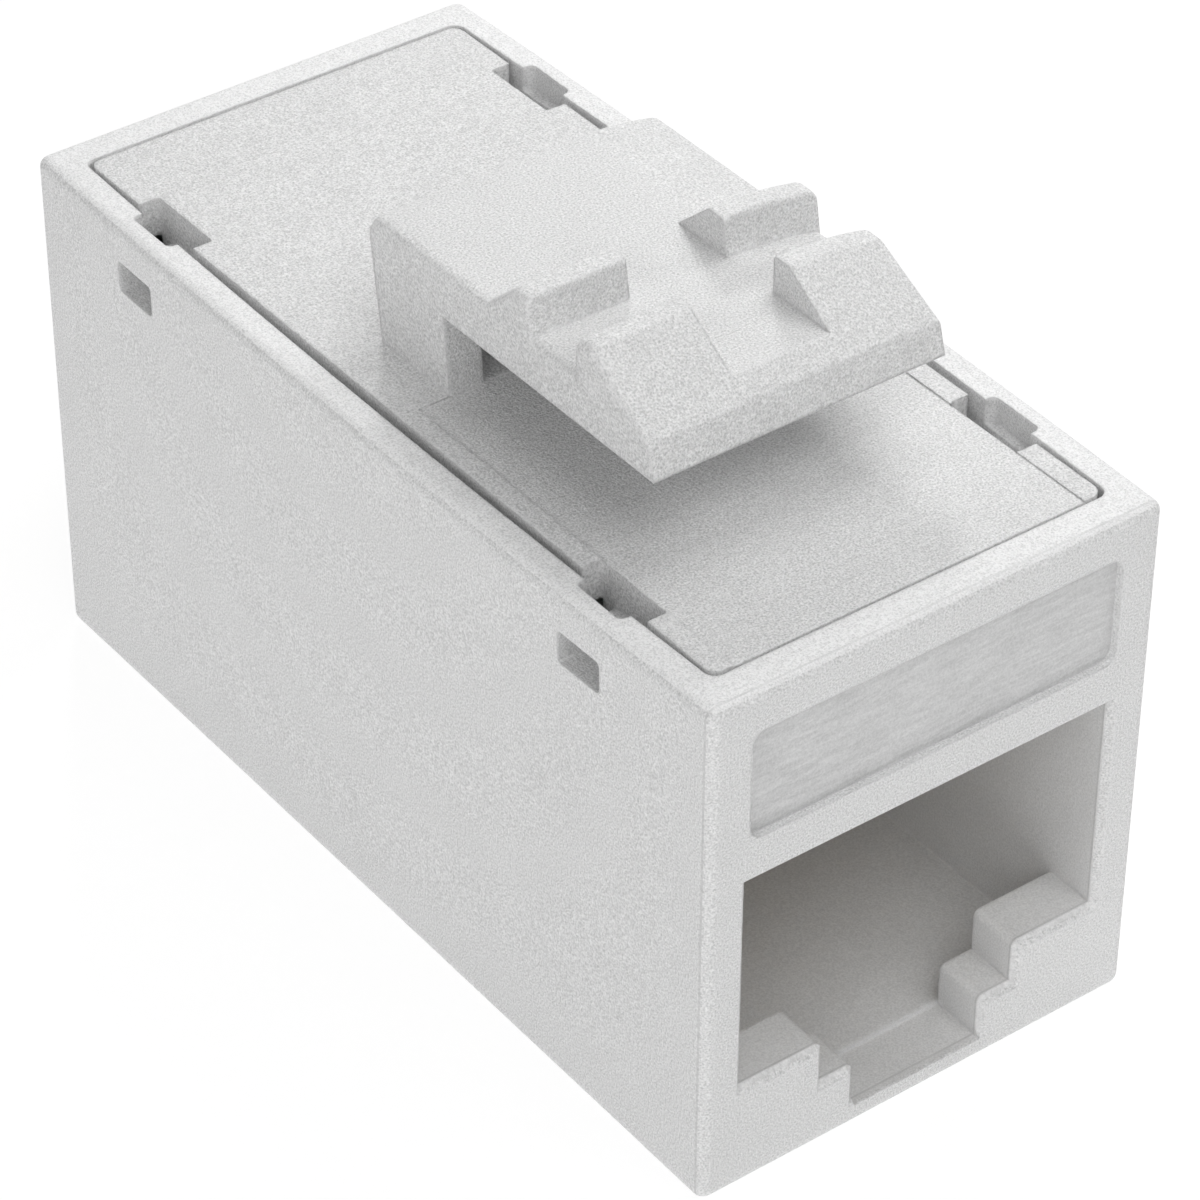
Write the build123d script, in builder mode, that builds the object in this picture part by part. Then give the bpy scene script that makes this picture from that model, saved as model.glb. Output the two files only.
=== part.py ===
# Inline coupler for two eight-way modular plugs, with a snap-in latch for a rectangular panel opening
# Sizes are in millimetres: X across the sockets, Y from the labelled end to the plain end, Z up from the base

import os
from math import atan, cos, degrees, hypot, pi, sin

from build123d import *

# Body
body_width = 14.5
body_length = 30.8
body_height = 16.3
wall_bow = 0.22
upright_round = 0.35
base_round = 0.35
rim_round = 0.3

# Sockets
socket_width = 11.9
socket_roof = 10.3
shelf_height = 3.43
shelf_length = 1.75
step_width = 6.5
step_height = 2.07
keyway_width = 4.3
keyway_height = 0.7
step_round = 0.2
mouth_bevel = 0.2
chamber_floor = 0.8
partition_length = 3.0

# Deck above the sockets
deck_height = 10.6
deck_wall = 0.9
end_wall = 1.13

# Label panel
panel_width = 11.9
panel_drop = 4.58
panel_height = 3.4
panel_round = 0.42
panel_depth = 0.25

# Catches between cover and housing
catch_offset = 10.2
window_length = 1.7
window_drop = 2.1
window_height = 0.98
window_round = 0.15
pocket_length = 1.85
pocket_depth = 0.42
pocket_round = 0.2
ledge_thickness = 0.35
notch_length = 2.7
notch_depth = 0.63
notch_round = 0.1
leg_length = 2.6
leg_thickness = 0.7
leg_drop = 1.2
hook_length = 1.5
hook_recess = 0.55
hook_clearance = 0.06
hook_tip = 0.3

# Cover plate
cover_gap = 0.1
cover_end_gap = 0.12
cover_thickness = 1.2
cover_corner = 0.35
imprint_depth = 0.05

# Root of the latch arm
latch_width = 9.3
root_rear = 2.05
root_front = 0.92
root_lean = 0.6
root_depth = 0.6
web_thickness = 1.3
rib_thickness = 1.1
rib_lean = 0.3

# Latch arm and its teeth, as distances from mid-length towards the labelled end
arm_gap = 2.35
arm_thickness = 1.45
arm_bend = 0.35
arm_inner_bend = 0.4
arm_reach = 9.65
tip_lean = 0.25
tip_height = 1.05
tip_round = 0.15
tip_share = 0.3
tooth_height = 1.1
tooth_spacing = 3.1
tooth_round = 0.12
rear_ramp_start = 2.5
rear_ramp_length = 1.25
rear_crest = 0.6
rear_face_lean = 0.2
panel_slot = 1.9
front_crest = 0.6
crown_start = 1.9
crown_drop = 0.36
arm_edge_round = 0.3

# Contact carriers
carrier_thickness = 1.7
carrier_side_gap = 0.15
carrier_end_gap = 0.15
comb_length = 1.4
comb_gap = 0.15
comb_bottom = 1.4
comb_slot_width = 0.6
comb_slot_depth = 0.8
comb_slot_height = 3.2
peg_diameter = 1.0
peg_rise = 0.2
peg_side_margin = 1.0
peg_end_margin = 1.87
peg_clearance = 0.1

# Contacts
contact_count = 8
contact_pitch = 1.016
wire_width = 0.45
wire_thickness = 0.35
wire_bend = 0.35
groove_clearance = 0.05
nose_setback = 3.1
nose_drop = 0.55
nose_clearance = 0.1
free_end_clearance = 0.2
free_end_drop = 2.35
tail_offset = 7.0
tail_stagger = 1.8
tail_rise = 0.6

# Board
board_thickness = 1.0
board_side_gap = 0.25
board_end_gap = 0.8
hole_clearance = 0.09
joint_foot = 0.62
joint_top = 0.4
joint_height = 0.4

# Ribs under the cover that hold the board down
press_rib_length = 15.0
press_rib_thickness = 0.8
press_rib_offset = 4.9

half_width = body_width / 2
half_length = body_length / 2
deck_half_width = half_width - deck_wall
deck_half_length = half_length - end_wall
cover_half_width = deck_half_width - cover_gap
cover_half_length = deck_half_length - cover_end_gap
cover_underside = body_height - cover_thickness
leg_face = cover_half_width - notch_depth
window_bottom = body_height - window_drop
window_top = window_bottom + window_height
hook_top = window_top - hook_clearance
hook_end = half_width - hook_recess
arm_underside = body_height + arm_gap
arm_top = arm_underside + arm_thickness
tooth_top = arm_top + tooth_height
rear_crest_start = rear_ramp_start + rear_ramp_length
rear_crest_end = rear_crest_start + rear_crest
front_tooth_start = rear_crest_end + rear_face_lean + panel_slot
front_crest_end = front_tooth_start + front_crest
tip_top = arm_underside + tip_height
board_bottom = deck_height + carrier_thickness
board_top = board_bottom + board_thickness
groove_floor = board_bottom - groove_clearance - wire_thickness
wire_level = groove_floor + wire_thickness / 2
groove_width = wire_width + 2 * groove_clearance
board_half_width = deck_half_width - board_side_gap
board_half_length = deck_half_length - board_end_gap
peg_offset_x = board_half_width - peg_side_margin
peg_offset_y = board_half_length - peg_end_margin
nose_offset = half_length - nose_setback
nose_height = deck_height - nose_drop
free_end_height = deck_height - free_end_drop
groove_rear_end = tail_offset - wire_thickness / 2 - nose_clearance
nose_rear_end = nose_offset - wire_bend - wire_thickness
nose_front_end = nose_offset + wire_thickness / 2 + nose_clearance
comb_rear = partition_length / 2 + comb_gap
comb_front = comb_rear + comb_length
hole_radius = hypot(wire_width, wire_thickness) / 2 + hole_clearance
contact_places = [(number - (contact_count - 1) / 2) * contact_pitch for number in range(contact_count)]
contact_tails = [tail_offset + tail_stagger * (number % 2) for number in range(contact_count)]
tail_places = [(x, -tail) for x, tail in zip(contact_places, contact_tails)]
tail_places += [(-x, -y) for x, y in tail_places]


def bowed_outline(half_x, half_y, bow, level):
    """A rectangle whose two long sides bulge outwards by bow at mid-length."""
    with BuildSketch(Plane.XY.offset(level)) as outline:
        with BuildLine():
            if bow > 0:
                ThreePointArc((half_x, -half_y), (half_x + bow, 0), (half_x, half_y))
                ThreePointArc((-half_x, half_y), (-half_x - bow, 0), (-half_x, -half_y))
            else:
                Line((half_x, -half_y), (half_x, half_y))
                Line((-half_x, half_y), (-half_x, -half_y))
            Line((half_x, half_y), (-half_x, half_y))
            Line((-half_x, -half_y), (half_x, -half_y))
        make_face()
    return outline.sketch


def side_profile(place, *points):
    """A side view outline of (y, z) points, at one place across the part."""
    with BuildSketch(Plane.YZ.offset(place)) as profile:
        with BuildLine():
            Polyline(*points, close=True)
        make_face()
    return profile.sketch


def longer_than(length, axis):
    """Picks edges that run further than length along an axis."""
    return lambda edge: getattr(edge.bounding_box().size, axis) > length


def socket_points(spread):
    """Outline of the stepped socket as (x, z) points, grown by spread on every side but the floor."""
    half_points = (
        (keyway_width / 2 + spread, keyway_height),
        (keyway_width / 2 + spread, step_height - spread),
        (step_width / 2 + spread, step_height - spread),
        (step_width / 2 + spread, shelf_height - spread),
        (socket_width / 2 + spread, shelf_height - spread),
        (socket_width / 2 + spread, socket_roof + spread),
    )
    return half_points + tuple((-x, z) for x, z in reversed(half_points))


# Space of one socket, at the labelled end
with BuildPart() as socket_space:
    with BuildSketch(Plane.XZ.offset(half_length)) as socket_outline:
        with BuildLine():
            Polyline(*socket_points(0), close=True)
        make_face()
        for x, z in ((step_width / 2, shelf_height), (keyway_width / 2, step_height)):
            for side in (-1, 1):
                fillet(socket_outline.vertices().sort_by_distance((side * x, z))[0], step_round)
    extrude(amount=-shelf_length)
    with BuildSketch(Plane.XZ.offset(half_length)):
        with BuildLine():
            Polyline(*socket_points(mouth_bevel), close=True)
        make_face()
    extrude(amount=-mouth_bevel, taper=45)
    with BuildSketch(Plane.XZ.offset(half_length - shelf_length)):
        with Locations((0, (chamber_floor + deck_height) / 2)):
            Rectangle(socket_width, deck_height - chamber_floor)
    extrude(amount=-(half_length - shelf_length - partition_length / 2))

# Space above the deck, bowed like the walls around it
with BuildPart() as deck_space:
    add(bowed_outline(deck_half_width, deck_half_length, 0, deck_height))
    add(bowed_outline(deck_half_width, deck_half_length, wall_bow, body_height))
    loft()
    fillet(deck_space.edges().filter_by(longer_than(body_height - deck_height - 0.5, "Z")), cover_corner)

# Housing: side walls bow outwards towards the open top
with BuildPart() as housing:
    add(bowed_outline(half_width, half_length, 0, 0))
    add(bowed_outline(half_width, half_length, wall_bow, body_height))
    loft()
    fillet(housing.edges().filter_by(longer_than(body_height / 2, "Z")), upright_round)
    fillet(housing.faces().sort_by(Axis.Z)[0].edges(), base_round)
    fillet(housing.faces().sort_by(Axis.Z)[-1].edges(), rim_round)
    add(deck_space.part, mode=Mode.SUBTRACT)
    add(socket_space.part, mode=Mode.SUBTRACT)
    add(socket_space.part, rotation=(0, 0, 180), mode=Mode.SUBTRACT)
    with BuildSketch(Plane.XZ.offset(half_length)):
        with Locations((0, body_height - panel_drop + panel_height / 2)):
            RectangleRounded(panel_width, panel_height, panel_round)
    extrude(amount=-panel_depth, mode=Mode.SUBTRACT)
    with BuildSketch(Plane.YZ):
        with Locations((0, window_bottom + window_height / 2)):
            with GridLocations(2 * catch_offset, 0, 2, 1):
                RectangleRounded(window_length, window_height, window_round)
    extrude(amount=body_width, both=True, mode=Mode.SUBTRACT)
    with BuildSketch(Plane.XY.offset(window_top + ledge_thickness)):
        with GridLocations(2 * deck_half_width, 2 * catch_offset, 2, 2):
            RectangleRounded(2 * pocket_depth, pocket_length, pocket_round)
    extrude(amount=body_height - window_top - ledge_thickness, mode=Mode.SUBTRACT)


# Cover plate with its notches, the shallow imprint under the arm, four hooks and two ribs
with BuildPart() as cover_plate:
    with BuildSketch(Plane.XY.offset(cover_underside)):
        RectangleRounded(2 * cover_half_width, 2 * cover_half_length, cover_corner)
        with GridLocations(2 * cover_half_width, 2 * catch_offset, 2, 2):
            RectangleRounded(2 * notch_depth, notch_length, notch_round, mode=Mode.SUBTRACT)
    extrude(amount=cover_thickness)
    with BuildSketch(Plane.XY.offset(body_height)):
        with Locations((0, -(cover_half_length + root_front) / 2)):
            Rectangle(2 * leg_face, cover_half_length - root_front)
    extrude(amount=-imprint_depth, mode=Mode.SUBTRACT)
    with BuildSketch(Plane.XY.offset(board_top)):
        with GridLocations(2 * press_rib_offset, 0, 2, 1):
            Rectangle(press_rib_thickness, press_rib_length)
    extrude(amount=cover_underside - board_top)

with BuildPart() as hook:
    with BuildSketch(Plane.XZ.offset(catch_offset + leg_length / 2)):
        with Locations((leg_face - leg_thickness / 2, cover_underside - leg_drop / 2)):
            Rectangle(leg_thickness, leg_drop)
    extrude(amount=-leg_length)
    with BuildSketch(Plane.XZ.offset(catch_offset + hook_length / 2)):
        with BuildLine():
            Polyline(
                (leg_face - leg_thickness / 2, hook_top),
                (hook_end, hook_top),
                (hook_end, hook_top - hook_tip),
                (leg_face, cover_underside - leg_drop),
                (leg_face - leg_thickness / 2, cover_underside - leg_drop),
                close=True,
            )
        make_face()
    extrude(amount=-hook_length)


def rounded_profile(place, points, rounds):
    """A side view outline of (y, z) points with some of its corners rounded."""
    with BuildSketch(Plane.YZ.offset(place)) as profile:
        with BuildLine():
            Polyline(*points, close=True)
        make_face()
        for point, radius in rounds:
            fillet(profile.vertices().sort_by_distance(point)[0], radius)
    return profile.sketch


def arm_profile(place, toothed, drop=0.0):
    """Arm and web in side view, with or without teeth; drop lowers the top surface."""
    tip = (-arm_reach + tip_lean, tip_top - tip_share * drop)
    crest_end = (-front_crest_end, tooth_top - drop)
    slope_share = tooth_height / (tooth_top - tip_top)
    slope_start = crest_end[0] + slope_share * (tip[0] - crest_end[0])
    heel = (root_rear + root_lean, arm_top - drop)
    foot = (-arm_reach, arm_underside)
    armpit = (root_rear + root_lean - web_thickness, arm_underside)
    rounds = [(heel, arm_bend), (armpit, arm_inner_bend), (tip, tip_round)]
    if toothed:
        rear_crest = (-rear_crest_start, tooth_top - drop)
        rear_edge = (-rear_crest_end, tooth_top - drop)
        front_edge = (-front_tooth_start, tooth_top - drop)
        teeth = [
            (-rear_ramp_start, arm_top - drop),
            rear_crest,
            rear_edge,
            (-rear_crest_end - rear_face_lean, arm_top - drop),
            (-front_tooth_start, arm_top - drop),
            front_edge,
            crest_end,
        ]
        rounds += [(rear_crest, tooth_round), (rear_edge, tooth_round)]
        rounds += [(front_edge, tooth_round), (crest_end, tooth_round)]
    else:
        teeth = [(slope_start, arm_top - drop)]
    points = [(root_rear, body_height - root_depth), heel] + teeth + [tip, foot, armpit]
    points += [(root_rear - web_thickness, body_height - root_depth)]
    return rounded_profile(place, points, rounds)


latch_half = latch_width / 2
tooth_inner = tooth_spacing / 2
crown_span = latch_half - crown_start
crown_lean = atan(2 * crown_drop / crown_span)
round_start = latch_half - arm_edge_round * (1 - sin(crown_lean))
round_drop = crown_drop * ((round_start - crown_start) / crown_span) ** 2
rib_points = (
    (root_rear - web_thickness / 2, body_height - root_depth),
    (-root_front, body_height - root_depth),
    (-root_front, body_height),
    (-root_front + rib_lean, arm_underside + arm_thickness / 2),
    (root_rear - web_thickness / 2, arm_underside + arm_thickness / 2),
)

# Latch arm: toothed on both sides of a plain middle, with a rib at each side of the root
with BuildPart() as latch:
    for start, end, toothed in (
        (arm_edge_round - latch_half, -tooth_inner, True),
        (-tooth_inner, tooth_inner, False),
        (tooth_inner, crown_start, True),
    ):
        add(arm_profile(start, toothed))
        extrude(amount=end - start, dir=(1, 0, 0))
    for start in (-latch_half, latch_half - rib_thickness):
        add(side_profile(start, *rib_points))
        extrude(amount=rib_thickness, dir=(1, 0, 0))

# Rounded left-hand edge of the arm
with BuildPart() as left_edge:
    for share in (0, 0.4, 0.75, 1):
        turn = share * pi / 2
        place = -latch_half + arm_edge_round * (1 - sin(turn))
        add(arm_profile(place, True, arm_edge_round * (1 - cos(turn))))
    loft(ruled=True)

# Crowned right-hand end of the arm, then its rounded edge
with BuildPart() as crown:
    for share in (0, 0.5, 1):
        place = crown_start + share * (round_start - crown_start)
        add(arm_profile(place, True, crown_drop * ((place - crown_start) / crown_span) ** 2))
    loft()
with BuildPart() as crown_edge:
    for share in (0, 0.35, 0.7, 1):
        turn = crown_lean + share * (pi / 2 - crown_lean)
        place = round_start + arm_edge_round * (sin(turn) - sin(crown_lean))
        add(arm_profile(place, True, round_drop + arm_edge_round * (cos(crown_lean) - cos(turn))))
    loft(ruled=True)

with BuildPart() as top_cover:
    add(cover_plate.part)
    add(hook.part)
    add(hook.part, rotation=(0, 0, 180))
    add(mirror(hook.part, about=Plane.YZ))
    add(mirror(hook.part, about=Plane.XZ))
    add(latch.part)
    add(left_edge.part)
    add(crown.part)
    add(crown_edge.part)


def wire_profile(place, tail):
    """Side view of one bent contact: tail, run in the groove, nose, then the spring leg in the socket."""
    with BuildSketch(Plane.YZ.offset(place - wire_width / 2)) as wire:
        with BuildLine() as path:
            Polyline(
                (-tail, board_top + tail_rise),
                (-tail, wire_level),
                (-nose_offset, wire_level),
                (-nose_offset, nose_height),
                (-(comb_front - comb_slot_depth + free_end_clearance), free_end_height),
            )
            fillet(path.vertices().sort_by_distance((-nose_offset, nose_height))[0], wire_bend)
        trace(line_width=wire_thickness)
    return wire.sketch


# Carrier of eight contacts, at the labelled end: plate with grooves, and a comb that stops the plug
with BuildPart() as carrier:
    with BuildSketch(Plane.XY.offset(deck_height)):
        with Locations((0, -deck_half_length / 2)):
            Rectangle(2 * (deck_half_width - carrier_side_gap), deck_half_length - 2 * carrier_end_gap)
    extrude(amount=carrier_thickness)
    with BuildSketch(Plane.XY.offset(comb_bottom)):
        with Locations((0, -(comb_rear + comb_front) / 2)):
            Rectangle(socket_width - 2 * comb_gap, comb_length)
    extrude(amount=deck_height - comb_bottom)
    with BuildSketch(Plane.XY.offset(deck_height - comb_slot_height)):
        with Locations((0, -comb_front + comb_slot_depth / 2)):
            with GridLocations(contact_pitch, 0, contact_count, 1):
                Rectangle(comb_slot_width, comb_slot_depth)
    extrude(amount=comb_slot_height, mode=Mode.SUBTRACT)
    with BuildSketch(Plane.XY.offset(groove_floor)):
        with Locations((0, -(nose_rear_end + groove_rear_end) / 2)):
            with GridLocations(contact_pitch, 0, contact_count, 1):
                Rectangle(groove_width, nose_rear_end - groove_rear_end)
    extrude(amount=board_bottom - groove_floor, mode=Mode.SUBTRACT)
    with BuildSketch(Plane.XY.offset(deck_height)):
        with Locations((0, -(nose_front_end + nose_rear_end) / 2)):
            with GridLocations(contact_pitch, 0, contact_count, 1):
                Rectangle(groove_width, nose_front_end - nose_rear_end)
    extrude(amount=carrier_thickness, mode=Mode.SUBTRACT)
    with BuildSketch(Plane.XY.offset(board_bottom)):
        with Locations((0, -peg_offset_y)):
            with GridLocations(2 * peg_offset_x, 0, 2, 1):
                Circle(peg_diameter / 2)
    extrude(amount=board_thickness + peg_rise)

with BuildPart() as front_contact_carrier:
    add(carrier.part)
with BuildPart() as rear_contact_carrier:
    add(carrier.part, rotation=(0, 0, 180))

# Circuit board that joins each front contact to its rear partner
with BuildPart() as circuit_board:
    with BuildSketch(Plane.XY.offset(board_bottom)):
        Rectangle(2 * board_half_width, 2 * board_half_length)
        with Locations(*tail_places):
            RegularPolygon(hole_radius, 8, major_radius=False, mode=Mode.SUBTRACT)
        with GridLocations(2 * peg_offset_x, 2 * peg_offset_y, 2, 2):
            Circle(peg_diameter / 2 + peg_clearance, mode=Mode.SUBTRACT)
    extrude(amount=board_thickness)

# Solder cones around the tails
with BuildPart() as solder_joints:
    with BuildSketch(Plane.XY.offset(board_top)):
        with Locations(*tail_places):
            RegularPolygon(joint_foot, 6)
    extrude(amount=joint_height, taper=degrees(atan((joint_foot - joint_top) / joint_height)))
    with BuildSketch(Plane.XY.offset(board_top)):
        with Locations(*tail_places):
            Rectangle(wire_width, wire_thickness)
    extrude(amount=joint_height, mode=Mode.SUBTRACT)

os.makedirs("parts", exist_ok=True)
housing.part.label = "housing"
export_step(housing.part, "parts/housing.step")
top_cover.part.label = "top_cover"
export_step(top_cover.part, "parts/top_cover.step")
circuit_board.part.label = "circuit_board"
export_step(circuit_board.part, "parts/circuit_board.step")
front_contact_carrier.part.label = "front_contact_carrier"
export_step(front_contact_carrier.part, "parts/front_contact_carrier.step")
rear_contact_carrier.part.label = "rear_contact_carrier"
export_step(rear_contact_carrier.part, "parts/rear_contact_carrier.step")
solder_joints.part.label = "solder_joints"
export_step(solder_joints.part, "parts/solder_joints.step")

# Contacts, numbered from left to right as seen from the labelled end
for number, (place, tail) in enumerate(zip(contact_places, contact_tails), start=1):
    with BuildPart() as contact:
        add(wire_profile(place, tail))
        extrude(amount=wire_width, dir=(1, 0, 0))
    with BuildPart() as turned_contact:
        add(contact.part, rotation=(0, 0, 180))
    contact.part.label = "front_contact_" + str(number)
    export_step(contact.part, "parts/front_contact_" + str(number) + ".step")
    turned_contact.part.label = "rear_contact_" + str(number)
    export_step(turned_contact.part, "parts/rear_contact_" + str(number) + ".step")
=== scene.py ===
from math import cos, pi, radians, sin

import bmesh
import bpy
from mathutils import Matrix, Vector

MM = 0.001

# Photo camera, in millimetres in the part's frame
CAMERA_PLACE = (-62.51, -84.69, 88.31)
CAMERA_RIGHT = (0.80206, -0.59723, 0.00396)
CAMERA_DOWN = (-0.36285, -0.49253, -0.79105)
CAMERA_FORWARD = (0.47438, 0.63303, -0.61175)
CAMERA_LENS = 143.91

TABLE_GLOW = 0.45
TABLE_WHITE = 0.7

# White mouldings: zones in millimetres, gains as shares of the plastic's tone
WHITE_PLASTIC = (0.74, 0.74, 0.74)
BRIGHTEST_TONE = 1.3
# Painted highlight: tone added in a bright line along the edges
EDGE_PAINTED_HIGHLIGHT = 0.32
EDGE_HIGHLIGHT_SHARPNESS = 7
EDGE_SAMPLES = 3
RIM_LEVELS = (16.22, 16.4)
# Painted sheen: tone added on the rim tops, standing in for their gloss
RIM_PAINTED_SHEEN = 0.16
RIM_STREAK = 0.03
SOCKET_WIDTH = (-5.97, 5.97)
SOCKET_HEIGHT = (0, 10.32)
SOCKET_LENGTH = (-15.3, 15.3)
SOCKET_POLISH = 0.55
RECESS_FLOOR = (-15.18, -15.12)
RECESS_POLISH = 0.65
RECESS_SHADE = 0.16
RECESS_LINES = 0.07
BEVEL_WIDTH = (-6.2, 6.2)
BEVEL_HEIGHT = (1.85, 3.6)
BEVEL_DEPTH = (-15.39, -15.2)

CARRIER_PLASTIC = (0.62, 0.62, 0.62)
BOARD_GREEN = (0.02, 0.16, 0.07)
CONTACT_GOLD = (0.86, 0.62, 0.27)
SOLDER_TIN = (0.62, 0.63, 0.65)


def new_material(name):
    material = bpy.data.materials.new(name)
    material.use_nodes = True
    nodes = material.node_tree.nodes
    nodes.clear()
    output = nodes.new("ShaderNodeOutputMaterial")
    shader = nodes.new("ShaderNodeBsdfPrincipled")
    material.node_tree.links.new(shader.outputs["BSDF"], output.inputs["Surface"])
    return material, shader


def node(material, kind, **inputs):
    made = material.node_tree.nodes.new(kind)
    for key, value in inputs.items():
        made.inputs[key.replace("_", " ")].default_value = value
    return made


def link(material, source, target):
    material.node_tree.links.new(source, target)


def noise(material, vector, size, low, high, detail=2.0):
    """Noise of one grain size in millimetres, spread between two levels."""
    made = node(material, "ShaderNodeTexNoise", Scale=1 / (size * MM), Detail=detail, Roughness=0.6)
    link(material, vector, made.inputs["Vector"])
    spread = node(material, "ShaderNodeMapRange", To_Min=low, To_Max=high)
    spread.inputs["From Min"].default_value = 0.3
    spread.inputs["From Max"].default_value = 0.7
    link(material, made.outputs["Fac"], spread.inputs["Value"])
    return spread.outputs["Result"]


def sum_up(material, operation, first, second, clamp=False):
    """One sum of two values; each is a socket or a number."""
    made = material.node_tree.nodes.new("ShaderNodeMath")
    made.operation = operation
    made.use_clamp = clamp
    for slot, value in enumerate((first, second)):
        if isinstance(value, (int, float)):
            made.inputs[slot].default_value = value
        else:
            link(material, value, made.inputs[slot])
    return made.outputs["Value"]


def toned(material, colour, tone):
    """A colour made lighter or darker by a tone around 1."""
    grey = node(material, "ShaderNodeCombineColor")
    for channel in ("Red", "Green", "Blue"):
        link(material, tone, grey.inputs[channel])
    made = node(material, "ShaderNodeMix")
    made.data_type = "RGBA"
    made.blend_type = "MULTIPLY"
    made.inputs[0].default_value = 1.0
    made.inputs[6].default_value = (*colour, 1)
    link(material, grey.outputs["Color"], made.inputs[7])
    return made.outputs[2]


def stretched(material, vector, *scale):
    """The place on the part, drawn out along one direction."""
    made = material.node_tree.nodes.new("ShaderNodeMapping")
    made.inputs["Scale"].default_value = scale
    link(material, vector, made.inputs["Vector"])
    return made.outputs["Vector"]


def scaled(material, value, share):
    """The product of two values; each is a socket or a number."""
    return sum_up(material, "MULTIPLY", value, share)


def zone(material, value, levels):
    """1 between two levels in millimetres and 0 outside them."""
    low, high = levels
    above = sum_up(material, "GREATER_THAN", value, low * MM)
    below = sum_up(material, "LESS_THAN", value, high * MM)
    return scaled(material, above, below)


def white_moulding(name, colour, grain_size, grain_height, fleck, edge_round, painted_rim_sheen=0.0):
    """Spark-eroded white plastic: flecked grain, with a painted highlight along its edges and,
    where given, painted sheen on the rim tops.
    """
    material, shader = new_material(name)
    place = node(material, "ShaderNodeTexCoord").outputs["Object"]
    parts_of_place = node(material, "ShaderNodeSeparateXYZ")
    link(material, place, parts_of_place.inputs["Vector"])
    x, y, z = (parts_of_place.outputs[axis] for axis in "XYZ")
    # Polished inside the sockets and on the recess floor
    in_socket = scaled(material, zone(material, x, SOCKET_WIDTH), zone(material, z, SOCKET_HEIGHT))
    in_socket = scaled(material, in_socket, zone(material, y, SOCKET_LENGTH))
    grained = sum_up(material, "SUBTRACT", 1.0, scaled(material, in_socket, SOCKET_POLISH))
    in_recess = zone(material, y, RECESS_FLOOR)
    grained = sum_up(material, "SUBTRACT", grained, scaled(material, in_recess, RECESS_POLISH))
    flecks = scaled(material, noise(material, place, grain_size, -fleck, fleck), grained)
    flecks = sum_up(material, "ADD", flecks, 1.0)
    mottle = noise(material, place, 1.6, 0.985, 1.015)
    tone = scaled(material, flecks, mottle)

    # Drag marks across the rim
    across = stretched(material, place, 0.12, 1, 1)
    streaks = noise(material, across, 0.14, -RIM_STREAK, RIM_STREAK)
    on_rim = zone(material, z, RIM_LEVELS)
    tone = sum_up(material, "ADD", tone, scaled(material, streaks, on_rim))
    if painted_rim_sheen:
        # Painted sheen: the rim tops made lighter, standing in for their gloss
        tone = sum_up(material, "ADD", tone, scaled(material, on_rim, painted_rim_sheen))
        tone = sum_up(material, "SUBTRACT", tone, scaled(material, in_recess, RECESS_SHADE))
        cutter_lines = noise(material, across, 0.12, -RECESS_LINES, RECESS_LINES)
        tone = sum_up(material, "ADD", tone, scaled(material, in_recess, cutter_lines))
        # Cutter marks across the bevels of shelves and steps
        nicks = noise(material, stretched(material, place, 1, 0.3, 1), 0.13, -0.06, 0.12, 0.0)
        on_bevel = scaled(material, zone(material, y, BEVEL_DEPTH), zone(material, x, BEVEL_WIDTH))
        on_bevel = scaled(material, on_bevel, zone(material, z, BEVEL_HEIGHT))
        tone = sum_up(material, "ADD", tone, scaled(material, on_bevel, nicks))

    # Soft edges, and a painted highlight along them: the colour made brighter in a thin line along
    # each edge, standing in for light caught by the rounded edges
    soft_edge = node(material, "ShaderNodeBevel", Radius=edge_round * MM)
    soft_edge.samples = EDGE_SAMPLES
    face = node(material, "ShaderNodeNewGeometry")
    facing = node(material, "ShaderNodeVectorMath")
    facing.operation = "DOT_PRODUCT"
    link(material, soft_edge.outputs["Normal"], facing.inputs[0])
    link(material, face.outputs["True Normal"], facing.inputs[1])
    painted_edge_highlight = sum_up(material, "SUBTRACT", 1.0, facing.outputs["Value"])
    painted_edge_highlight = sum_up(material, "MULTIPLY", painted_edge_highlight, EDGE_HIGHLIGHT_SHARPNESS, clamp=True)
    tone = sum_up(material, "ADD", tone, scaled(material, painted_edge_highlight, EDGE_PAINTED_HIGHLIGHT))
    tone = sum_up(material, "MINIMUM", tone, BRIGHTEST_TONE)
    link(material, toned(material, colour, tone), shader.inputs["Base Color"])

    link(material, noise(material, place, grain_size * 2, 0.4, 0.6), shader.inputs["Roughness"])
    fine, coarse = grain_size, grain_size * 2.6
    coarse_heights = noise(material, place, coarse, 0, 1.2)
    heights = sum_up(material, "ADD", noise(material, place, fine, 0, 1), coarse_heights)
    heights = scaled(material, heights, grained)
    bump = node(material, "ShaderNodeBump", Strength=1.0, Distance=grain_height * MM)
    link(material, heights, bump.inputs["Height"])
    link(material, soft_edge.outputs["Normal"], bump.inputs["Normal"])
    link(material, bump.outputs["Normal"], shader.inputs["Normal"])
    shader.inputs["Specular IOR Level"].default_value = 0.4
    return material


def plain_finish(name, colour, roughness, metallic=0.0):
    material, shader = new_material(name)
    place = node(material, "ShaderNodeTexCoord").outputs["Object"]
    mottle = noise(material, place, 0.4, 0.9, 1.05)
    link(material, toned(material, colour, mottle), shader.inputs["Base Color"])
    rubbed = noise(material, place, 0.2, roughness * 0.85, roughness * 1.15)
    link(material, rubbed, shader.inputs["Roughness"])
    shader.inputs["Metallic"].default_value = metallic
    return material


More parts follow.
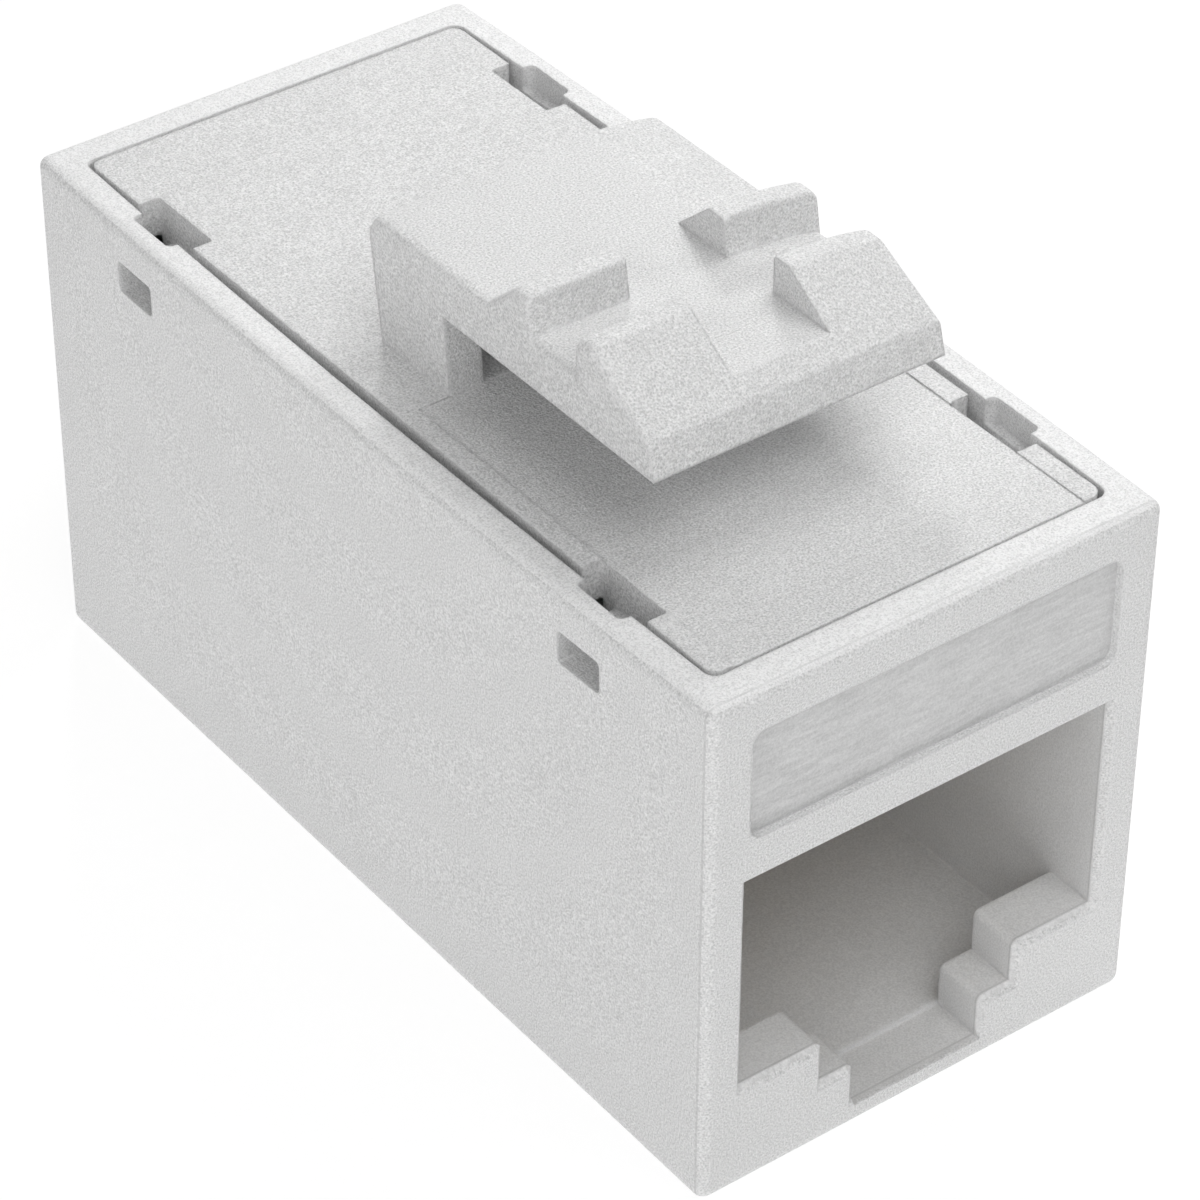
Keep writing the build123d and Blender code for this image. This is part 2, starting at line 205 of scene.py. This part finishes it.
def seen_directly(tree, share):
    """Share for what the camera, a mirror or glass sees, 0 for what only lights the object."""
    path = tree.nodes.new("ShaderNodeLightPath")
    total = path.outputs["Is Camera Ray"]
    for output in ("Is Glossy Ray", "Is Transmission Ray"):
        add = tree.nodes.new("ShaderNodeMath")
        add.operation = "ADD"
        tree.links.new(total, add.inputs[0])
        tree.links.new(path.outputs[output], add.inputs[1])
        total = add.outputs["Value"]
    scale = tree.nodes.new("ShaderNodeMath")
    scale.operation = "MULTIPLY"
    scale.use_clamp = True
    scale.inputs[1].default_value = share
    tree.links.new(total, scale.inputs[0])
    return scale.outputs["Value"]


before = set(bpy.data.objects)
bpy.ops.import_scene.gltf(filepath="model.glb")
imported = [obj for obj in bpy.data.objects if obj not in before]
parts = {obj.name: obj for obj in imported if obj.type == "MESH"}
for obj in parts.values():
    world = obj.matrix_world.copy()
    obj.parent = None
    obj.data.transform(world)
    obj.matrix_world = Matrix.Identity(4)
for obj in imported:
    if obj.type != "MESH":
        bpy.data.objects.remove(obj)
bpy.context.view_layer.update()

housing_white = white_moulding("housing_white", WHITE_PLASTIC, 0.055, 0.01, 0.28, 0.14, RIM_PAINTED_SHEEN)
cover_white = white_moulding("cover_white", WHITE_PLASTIC, 0.06, 0.013, 0.31, 0.18)
carrier_white = plain_finish("carrier_white", CARRIER_PLASTIC, 0.45)
board_lacquer = plain_finish("board_lacquer", BOARD_GREEN, 0.3)
contact_gold = plain_finish("contact_gold", CONTACT_GOLD, 0.22, 1.0)
solder_tin = plain_finish("solder_tin", SOLDER_TIN, 0.28, 1.0)

for name, part in parts.items():
    part.data.materials.clear()
    if name == "housing":
        part.data.materials.append(housing_white)
    elif name == "top_cover":
        part.data.materials.append(cover_white)
    elif name.endswith("_carrier"):
        part.data.materials.append(carrier_white)
    elif name == "circuit_board":
        part.data.materials.append(board_lacquer)
    elif name == "solder_joints":
        part.data.materials.append(solder_tin)
    else:
        part.data.materials.append(contact_gold)

# Floor, world, lamps and camera
floor_mesh = bpy.data.meshes.new("floor")
bm = bmesh.new()
bmesh.ops.create_grid(bm, x_segments=1, y_segments=1, size=0.6)
bm.to_mesh(floor_mesh)
bm.free()
floor = bpy.data.objects.new("floor", floor_mesh)
bpy.context.scene.collection.objects.link(floor)
floor_paint, floor_shader = new_material("floor_paint")
floor_shader.inputs["Base Color"].default_value = (0.85, 0.85, 0.85, 1)
floor_shader.inputs["Roughness"].default_value = 0.9
floor_shader.inputs["Specular IOR Level"].default_value = 0.0
floor_shader.inputs["Emission Color"].default_value = (1, 1, 1, 1)
floor_shader.inputs["Emission Strength"].default_value = TABLE_GLOW
floor_glow = node(floor_paint, "ShaderNodeEmission", Strength=1.0)
floor_mix = node(floor_paint, "ShaderNodeMixShader")
link(floor_paint, seen_directly(floor_paint.node_tree, TABLE_WHITE), floor_mix.inputs["Fac"])
link(floor_paint, floor_shader.outputs["BSDF"], floor_mix.inputs[1])
link(floor_paint, floor_glow.outputs["Emission"], floor_mix.inputs[2])
floor_output = floor_paint.node_tree.nodes["Material Output"]
link(floor_paint, floor_mix.outputs["Shader"], floor_output.inputs["Surface"])
floor_mesh.materials.append(floor_paint)

scene = bpy.context.scene
scene.view_settings.view_transform = "Standard"
world = bpy.data.worlds.new("studio")
scene.world = world
world.use_nodes = True
background = world.node_tree.nodes["Background"]
background.inputs["Color"].default_value = (1, 1, 1, 1)
seen_white = seen_directly(world.node_tree, 1.0)
world.node_tree.links.new(seen_white, background.inputs["Strength"])


def studio_lamp(name, azimuth, elevation, distance, size, light):
    """A round lamp aimed at the part. Light is what a white surface facing it would show."""
    lamp = bpy.data.lights.new(name, "AREA")
    lamp.shape = "DISK"
    lamp.size = size
    lamp.energy = light * pi**2 * distance**2
    target = Vector((0, 0, 8 * MM))
    turn, rise = radians(azimuth), radians(elevation)
    direction = Vector((sin(turn) * cos(rise), cos(turn) * cos(rise), sin(rise)))
    obj = bpy.data.objects.new(name, lamp)
    scene.collection.objects.link(obj)
    obj.location = target + distance * direction
    obj.rotation_euler = (-direction).to_track_quat("-Z", "Y").to_euler()


# Azimuth 0 is behind the part, 90 to its right
studio_lamp("key_lamp", 34, 30, 0.5, 0.09, 0.215)
studio_lamp("rear_lamp", 10, 30, 0.5, 0.3, 0.07)
studio_lamp("left_lamp", 262, 25, 0.5, 0.4, 0.26)
studio_lamp("left_front_lamp", 215, 30, 0.4, 0.3, 0.205)
studio_lamp("front_lamp", 150, 50, 0.4, 0.3, 0.145)
studio_lamp("front_top_lamp", 180, 65, 0.4, 0.3, 0.255)
studio_lamp("near_lamp", 80, 60, 0.07, 0.04, 0.33)

camera_data = bpy.data.cameras.new("photo_camera")
camera_data.lens = CAMERA_LENS
camera_data.sensor_width = 36
camera_data.clip_start = 0.005
camera = bpy.data.objects.new("photo_camera", camera_data)
scene.collection.objects.link(camera)
turn = Matrix((CAMERA_RIGHT, -Vector(CAMERA_DOWN), -Vector(CAMERA_FORWARD))).transposed()
camera.matrix_world = Matrix.Translation(Vector(CAMERA_PLACE) * MM) @ turn.to_4x4()
scene.camera = camera
